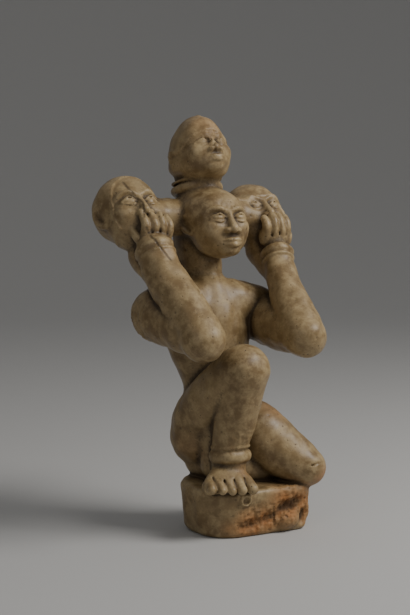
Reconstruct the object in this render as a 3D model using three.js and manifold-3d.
// A kneeling figure carved from one block of soft stone, with its base block.
// Millimetres, +Z up. The figure faces -Y and its left side is +X.
// Y = 0 of the sizes below is 11 mm in front of the base's middle, and the
// finished figure is set back so that the origin is the middle of the underside.
import * as THREE from 'three';
import { mergeVertices } from 'three/addons/utils/BufferGeometryUtils.js';
import Module from 'manifold-3d';

const wasm = await Module();
wasm.setup();

// Driving dimensions
const base = { left: -60, right: 60, front: -36, back: 58, height: 46 };
const baseCorner = { frontLeft: 36, frontRight: 18, back: 42 };
const baseEdge = 5;
const baseRise = 6; // how much higher the top is at the back
const baseDraw = { left: 0.1, front: 0.15 }; // share by which these sides draw in at the bottom
const chips = [
  // centre, radii and turn about Y of each bite out of the front face
  [[-12, base.front - 1, 13], [27, 8, 8], -0.15],
  [[24, base.front - 1, 21], [28, 9, 12], -0.25],
];
const chipLump = [[30, base.front + 10, 14], [14, 10, 11]];
const middle = -16; // X of the body's upright midline

const torso = [
  // x, y, z of the section's centre, half width, half depth
  [middle, 44, 78, 32, 28],
  [middle, 43, 111, 35, 30],
  [middle, 42, 142, 29, 25],
  [middle, 48, 184, 44, 36],
  [middle, 50, 216, 43, 35],
  [middle, 56, 240, 29, 30],
  [middle, 67, 258, 22, 30],
  [middle, 69, 290, 22, 31],
];

// Arms: x is measured out from the midline, the radius comes last
const upperArm = {
  right: [[24, 46, 222, 27], [51, 46, 219, 27], [64, 34, 215, 26], [63, 0, 207, 22], [59, -38, 199, 19]],
  left: [[24, 46, 222, 26], [50, 46, 216, 26], [59, 34, 208, 26], [59, 0, 201, 24.5], [56, -38, 197, 20]],
};
const forearm = {
  right: [[59, -42, 198, 21.5], [62, -14, 226, 21], [68, 14, 254, 20], [70, 32, 280, 18]],
  left: [[56, -43, 196, 21.5], [61, -14, 222, 19.5], [68, 14, 248, 16.5], [73, 32, 272, 14.5]],
};
const bracelet = { sink: 1.5, thickness: 4.5 };
const hand = {
  right: { out: 66, y: 34, knuckles: 300 },
  left: { out: 74, y: 34, knuckles: 297 },
};
const palm = { behind: 4, below: 6, radii: [16, 11, 13] };
const finger = {
  gap: 8.4,
  bend: 2.5, // how far each finger lies behind the one nearer the middle
  rows: [
    // in front of the hand's middle, above the knuckles, and the radius
    [1, -8, 4.8], [4, 3, 4.8], [0, 15, 4.2],
  ],
};
const thumb = [
  // out from the hand's middle, behind it and above the knuckles, then the radius
  [15, 4, -12, 5], [19, 8, -6, 5], [19.5, 14, 2, 4.4],
];
// Stone left between each wrist and the held head's jaw
const wristWeb = {
  right: [[70, 54, 272, 15], [65, 28, 250, 13]],
  left: [[70, 58, 276, 16], [69, 30, 254, 13]],
};

// Legs, in the object's own X
const rightThigh = [[-29, 42, 92, 30], [-31, 32, 113, 28.5], [-29, 2, 139, 27.5], [-24, -24, 162, 25]];
const rightShin = [
  [-22.5, -31, 165, 25], [-23, -24, 138, 22.5], [-24.5, -17, 112, 20.5],
  [-27, -12, 86, 17.5], [-28, -11, 62, 17],
];
const leftThigh = [[2, 36, 106, 30], [20, 13, 94, 31], [40, -10, 74, 26], [55.5, -24, 62, 20]];
const leftShin = [[54, -20, 60, 17], [47, 16, 60, 17], [34, 44, 58, 15], [22, 58, 54, 12]];
// Stone left between the legs, and behind the right calf
const legWeb = [[-20, 40, 68, 24], [-12, 16, 64, 20], [20, 8, 58, 17]];
const calfWeb = [[-28, 10, 126, 15], [-27, 12, 96, 17], [-24, 13, 66, 18]];
const anklet = { at: [-26.5, -12, 79], axis: [0, 0.08, 1], ring: 15.5, thickness: 6 };
const instep = [[-27, -2, 60, 15, 14], [-31, -18, 62, 16, 13], [-37, -33, 56, 22, 9]];
const toeLength = 14;
const toes = [
  // x, y and z of each tip, then its radius
  [-59, -34, 54, 4.4], [-50, -39, 53, 4.6], [-41, -42, 52.5, 4.8],
  [-30, -43, 52, 5.2], [-17, -42, 51.5, 5.8],
];

// Heads: centre, full width, depth and height, how far each leans back in degrees,
// how full the skull is, and whether the mouth shows
const centralHead = {
  at: [middle + 2, 38, 304], size: [64, 72, 72], lean: 14, skull: 1, mouth: true,
};
const rightHead = {
  at: [middle - 74, 78, 312], size: [62, 72, 82], lean: 32, skull: 1, mouth: false,
};
const leftHead = {
  at: [middle + 73, 78, 307], size: [60, 68, 74], lean: 32, skull: 1, mouth: false,
};
const topHead = {
  at: [middle, 63, 370], size: [58, 66, 56], lean: 34, skull: 0.8, mouth: true,
};

// One face for every head, on even proportions: x, y and z from the head's centre
// and the radii, for a head of headSize, which looks towards -Y
const headSize = [54, 62, 66];
const face = {
  skull: { at: [0, 3, 7], radii: [27, 29, 26] },
  jaw: { at: [0, -6, -9], radii: [23.5, 22.5, 24] },
  brow: [[-19, -18, 6, 2.6], [-10, -25.5, 9, 3], [0, -27, 6.5, 2.6], [10, -25.5, 9, 3], [19, -18, 6, 2.6]],
  nose: [[0, -26.5, 3, 2.6, 2.6], [0, -29.5, -6, 3, 3.6], [0, -31, -13, 4.5, 6]],
  chin: { at: [0, -18, -27], radii: [11, 8.5, 6.5] },
  upperLip: [[-8.5, -25, -21.5, 2], [0, -29.5, -20, 3], [8.5, -25, -21.5, 2]],
  lowerLip: [[-7, -24.5, -24.5, 2], [0, -28.5, -25.5, 3], [7, -24.5, -24.5, 2]],
  eye: { at: [10.5, -23.5, 0], radii: [7.2, 4.6, 4.4], turn: [0, 0, 0.35] },
  ear: { at: [26, 3, -4], radii: [4, 6, 9], turn: [0.2, 0, 0] },
};

const capY = 66;
const topCap = [
  // z, half width and half depth up the pointed cap
  [366, 29, 33], [383, 26, 30], [391, 22.5, 25.5], [396.5, 16, 18.5],
];
const neckStack = [
  // y, z, half width and half depth of the stone between the crown and the top head
  [54, 322, 26, 29], [66, 340, 21, 24], [68, 356, 24, 27],
];
const collar = { at: [middle, 69, 339], axis: [0, 0.25, 1], ring: 21.5, thickness: 5.5 };
const bridge = { y: 68, z: 311, innerY: 60, radius: 18.5 }; // joins each held head to the neck

// Facets round a limb, along it and over each rounded end
const trunk = { radial: 14, along: 8, cap: 2 };
const fine = { radial: 13, along: 5, cap: 2 };
const plain = { radial: 12, along: 4, cap: 2 };
const short = { radial: 12, along: 2, cap: 2 };
const column = { radial: 12, along: 3, cap: 1 };
const broad = { radial: 10, along: 3, cap: 2 };
const stub = { radial: 9, along: 1, cap: 1 };
const small = { radial: 6, along: 2, cap: 1 };
const tip = { radial: 6, along: 1, cap: 1 };
const lip = { radial: 4, along: 2, cap: 1 };
const ridge = { radial: 4, along: 4, cap: 1 };
const ringFacets = { around: 14, across: 5 };
// Facets round a ball and from its top to its bottom
const bigBall = { radial: 12, rings: 8 };
const roundBall = { radial: 10, rings: 6 };
const longBall = { radial: 12, rings: 6 };
const lowBall = { radial: 8, rings: 4 };
const thinBall = { radial: 6, rings: 4 };

const sideways = new THREE.Vector3(1, 0, 0);
const upwards = new THREE.Vector3(0, 0, 1);

function toSolid(geometry) {
  const bare = geometry.clone();
  bare.deleteAttribute('normal');
  bare.deleteAttribute('uv');
  const merged = mergeVertices(bare, 1e-4);
  return new wasm.Manifold(new wasm.Mesh({
    numProp: 3,
    vertProperties: new Float32Array(merged.attributes.position.array),
    triVerts: new Uint32Array(merged.index.array),
  }));
}

function toGeometry(solid) {
  const mesh = solid.getMesh();
  const geometry = new THREE.BufferGeometry();
  geometry.setAttribute('position', new THREE.BufferAttribute(mesh.vertProperties, mesh.numProp));
  geometry.setIndex(new THREE.BufferAttribute(mesh.triVerts, 1));
  return geometry;
}

function joinAll(solids) {
  return solids.reduce((whole, next) => whole.add(next));
}

// A capsule bent along a smooth curve through the stations; each ends in a half ball
function limb(stations, { radial, along, cap } = plain, across = sideways) {
  const path = new THREE.CatmullRomCurve3(stations.map(([x, y, z]) => new THREE.Vector3(x, y, z)));
  const sizes = new THREE.CatmullRomCurve3(stations.map(([, , , a, b = a]) => new THREE.Vector3(a, b, 0)));
  const geometry = new THREE.CapsuleGeometry(1, 2, cap, radial, along);
  const position = geometry.attributes.position;
  for (let i = 0; i < position.count; i += 1) {
    const x = position.getX(i);
    const y = position.getY(i);
    const z = position.getZ(i);
    const t = THREE.MathUtils.clamp((y + 1) / 2, 0, 1);
    const over = y - THREE.MathUtils.clamp(y, -1, 1);
    const centre = path.getPoint(t);
    const size = sizes.getPoint(t);
    const tangent = path.getTangent(t);
    const side = across.clone().addScaledVector(tangent, -across.dot(tangent)).normalize();
    const deep = new THREE.Vector3().crossVectors(side, tangent);
    centre.addScaledVector(side, x * size.x);
    centre.addScaledVector(deep, z * size.y);
    centre.addScaledVector(tangent, over * Math.min(size.x, size.y));
    position.setXYZ(i, centre.x, centre.y, centre.z);
  }
  return toSolid(geometry);
}

function ball(at, radii, { radial, rings }, turn = [0, 0, 0]) {
  const geometry = new THREE.SphereGeometry(1, radial, rings);
  const place = new THREE.Matrix4().compose(
    new THREE.Vector3(...at),
    new THREE.Quaternion().setFromEuler(new THREE.Euler(...turn)),
    new THREE.Vector3(...radii),
  );
  geometry.rotateX(Math.PI / 2);
  geometry.applyMatrix4(place);
  return toSolid(geometry);
}

// A carved band round a limb
function band({ at, axis, ring, thickness }) {
  const { around, across } = ringFacets;
  const geometry = new THREE.TorusGeometry(ring, thickness, across, around);
  const turn = new THREE.Quaternion().setFromUnitVectors(upwards, new THREE.Vector3(...axis).normalize());
  geometry.applyQuaternion(turn);
  geometry.translate(...at);
  return toSolid(geometry);
}

function mirrorOut(stations, side) {
  return stations.map(([out, ...rest]) => [middle + side * out, ...rest]);
}

// The plan with four rounded corners, raised to the block, then drawn in below and tipped on top
function baseBlock() {
  const left = base.left + baseEdge;
  const right = base.right - baseEdge;
  const front = base.front + baseEdge;
  const back = base.back - baseEdge;
  const leftFront = baseCorner.frontLeft - baseEdge;
  const rightFront = baseCorner.frontRight - baseEdge;
  const behind = baseCorner.back - baseEdge;
  const plan = new THREE.Shape();
  plan.absarc(left + leftFront, front + leftFront, leftFront, Math.PI, 1.5 * Math.PI);
  plan.absarc(right - rightFront, front + rightFront, rightFront, 1.5 * Math.PI, 2 * Math.PI);
  plan.absarc(right - behind, back - behind, behind, 0, 0.5 * Math.PI);
  plan.absarc(left + behind, back - behind, behind, 0.5 * Math.PI, Math.PI);
  const block = new THREE.ExtrudeGeometry(plan, {
    depth: base.height - 2 * baseEdge,
    bevelThickness: baseEdge,
    bevelSize: baseEdge,
    bevelSegments: 2,
    curveSegments: 4,
  });
  block.translate(0, 0, baseEdge);
  const position = block.attributes.position;
  for (let i = 0; i < position.count; i += 1) {
    const x = position.getX(i);
    const y = position.getY(i);
    const z = position.getZ(i);
    const above = z / base.height;
    const behindFront = (y - base.front) / (base.back - base.front);
    position.setXYZ(
      i,
      x < 0 ? x * (1 - baseDraw.left * (1 - above)) : x,
      y < 0 ? y * (1 - baseDraw.front * (1 - above)) : y,
      z + baseRise * behindFront * above,
    );
  }
  const bites = chips.map(([at, radii, turn]) => ball(at, radii, longBall, [0, turn, 0]));
  const lump = ball(...chipLump, roundBall);
  return toSolid(block).subtract(joinAll(bites)).add(lump);
}

// A head with the shared face, in its own size, leant back and put in its place
function head({ at, size, lean, skull, mouth }) {
  const [w, d, h] = size.map((value, i) => value / headSize[i]);
  const bump = ({ at: [x, y, z], radii: [a, b, c], turn }, facets, full = 1) => ball(
    [x * w, y * d, z * h],
    [a * w * full, b * d * full, c * h],
    facets,
    turn,
  );
  const strip = (rows, facets) => limb(
    rows.map(([x, y, z, ...radii]) => [x * w, y * d, z * h, ...radii.map((value) => value * w)]),
    facets,
    upwards,
  );
  const mirrored = ({ at: [x, y, z], radii, turn: [a, b, c] }, side) => ({
    at: [side * x, y, z],
    radii,
    turn: [a, b, side * c],
  });
  const parts = [
    bump(face.skull, bigBall, skull),
    bump(face.jaw, bigBall),
    strip(face.brow, ridge),
    strip(face.nose, tip),
  ];
  if (mouth) {
    parts.push(
      bump(face.chin, lowBall),
      strip(face.upperLip, lip),
      strip(face.lowerLip, lip),
    );
  }
  for (const side of [-1, 1]) {
    parts.push(
      bump(mirrored(face.eye, side), lowBall),
      bump(mirrored(face.ear, side), thinBall),
    );
  }
  return joinAll(parts).rotate([-lean, 0, 0]).translate(at);
}

// Four fingers laid up over the held head's mouth, the thumb at the outer side
function raisedHand({ out, y, knuckles }, side) {
  const x = middle + side * out;
  const parts = [ball([x, y + palm.behind, knuckles - palm.below], palm.radii, roundBall)];
  for (let i = 0; i < 4; i += 1) {
    const fromMiddle = 1.5 - i;
    const fx = x + side * finger.gap * fromMiddle;
    const bend = finger.bend * Math.abs(fromMiddle);
    const rows = finger.rows.map(([inFront, above, r], step) => [
      fx,
      y - inFront + bend,
      knuckles + above - (step === finger.rows.length - 1 ? bend : 0),
      r,
    ]);
    parts.push(limb(rows, small));
  }
  const thumbRows = thumb.map(([outward, behind, above, r]) => [
    x + side * outward,
    y + behind,
    knuckles + above,
    r,
  ]);
  parts.push(limb(thumbRows, small));
  return joinAll(parts);
}

function arm(name, side) {
  const wrist = mirrorOut(forearm[name], side).at(-1);
  const before = mirrorOut(forearm[name], side).at(-2);
  const axis = [0, 1, 2].map((i) => wrist[i] - before[i]);
  const ring = wrist[3] - bracelet.sink;
  return joinAll([
    limb(mirrorOut(upperArm[name], side), plain, upwards),
    limb(mirrorOut(forearm[name], side), fine),
    limb(mirrorOut(wristWeb[name], side), short),
    band({ at: wrist.slice(0, 3), axis, ring, thickness: bracelet.thickness }),
    raisedHand(hand[name], side),
  ]);
}

function foot() {
  const parts = [limb(instep, broad)];
  const [ballX, , ballZ] = instep.at(-1);
  for (const [x, y, z, r] of toes) {
    const root = [(x + ballX) / 2, y + toeLength, ballZ + 1, r];
    parts.push(limb([root, [x, y, z, r]], tip));
  }
  return joinAll(parts);
}

function body() {
  return joinAll([
    limb(torso, trunk),
    limb(rightThigh),
    limb(rightShin, fine),
    limb(leftThigh, fine),
    limb(leftShin),
    limb(legWeb, short),
    limb(calfWeb, short),
    band(anklet),
    foot(),
  ]);
}

// The four heads, the stack of stone between crown and top head, and the two bridges
function heads() {
  const parts = [
    head(centralHead),
    head(topHead),
    limb(neckStack.map((row) => [middle, ...row]), column),
    band(collar),
    limb(topCap.map(([z, ...half]) => [middle, capY, z, ...half])),
  ];
  for (const held of [rightHead, leftHead]) {
    const outer = [held.at[0], bridge.y, bridge.z, bridge.radius];
    const inner = [middle, bridge.innerY, bridge.z, bridge.radius];
    parts.push(head(held), limb([outer, inner], stub));
  }
  return joinAll(parts);
}

const stone = new THREE.MeshStandardMaterial({ color: 0xa58f68, roughness: 0.5, metalness: 0 });
const whole = joinAll([baseBlock(), body(), arm('right', -1), arm('left', 1), heads()]);
const figure = new THREE.Mesh(toGeometry(whole), stone);
figure.name = 'kneeling_figure';
figure.position.y = -(base.front + base.back) / 2;

const part = new THREE.Group();
part.add(figure);

export default part;
